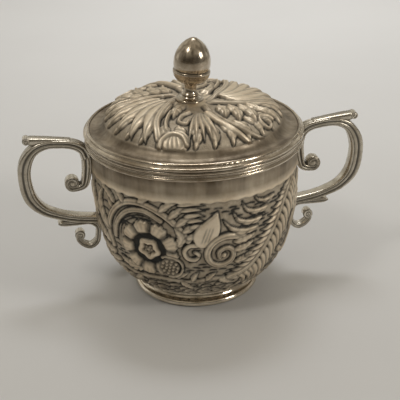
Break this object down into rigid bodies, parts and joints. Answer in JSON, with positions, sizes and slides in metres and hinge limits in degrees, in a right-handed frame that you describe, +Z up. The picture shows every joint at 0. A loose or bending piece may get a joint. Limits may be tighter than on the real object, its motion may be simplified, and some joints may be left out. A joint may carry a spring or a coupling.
{
  "type": "covered sugar bowl",
  "caption": "Covered silver sugar bowl with chased flowers and leaves, scroll handles, a collet foot and an acorn finial on a lift-off lid.",
  "frame": {"origin": "centre of the foot, on the surface that the bowl stands on", "axes": "+Z up along the bowl's axis, +X towards the right-hand handle, -Y the front"},
  "size_m": [0.1448, 0.09, 0.1079],
  "materials": {
    "chased_silver": "tarnished repousse silver, bright on the high relief and dark in the recesses",
    "polished_silver": "worn polished silver with fine scratches",
    "cast_silver": "cast silver, ribbed, with tarnish in the grooves",
    "plain_fixing_silver": "dull turned silver"
  },
  "bodies": {
    "bowl": {"bowl_rim_moulding": "polished_silver", "bowl_shell": "chased_silver", "foot_base_wire": "polished_silver", "foot_collet": "polished_silver", "handle_left_main_scroll": "cast_silver", "handle_left_tail_scroll": "cast_silver", "handle_left_thumb_spur": "cast_silver", "handle_left_upper_volute": "cast_silver", "handle_right_main_scroll": "cast_silver", "handle_right_tail_scroll": "cast_silver", "handle_right_thumb_spur": "cast_silver", "handle_right_upper_volute": "cast_silver"},
    "lid": {"finial_acorn_cup": "polished_silver", "finial_acorn_nut": "polished_silver", "finial_collar": "polished_silver", "finial_fixing_nut": "plain_fixing_silver", "finial_stem": "polished_silver", "finial_stud": "plain_fixing_silver", "finial_washer": "plain_fixing_silver", "lid_bezel": "polished_silver", "lid_dome": "chased_silver", "lid_rim_moulding": "polished_silver"}
  },
  "joints": [
    {"name": "lid_lift", "type": "slide", "parent": "bowl", "child": "lid", "axis": [0, 0, 1], "range_m": [0, 0.06]}
  ]
}
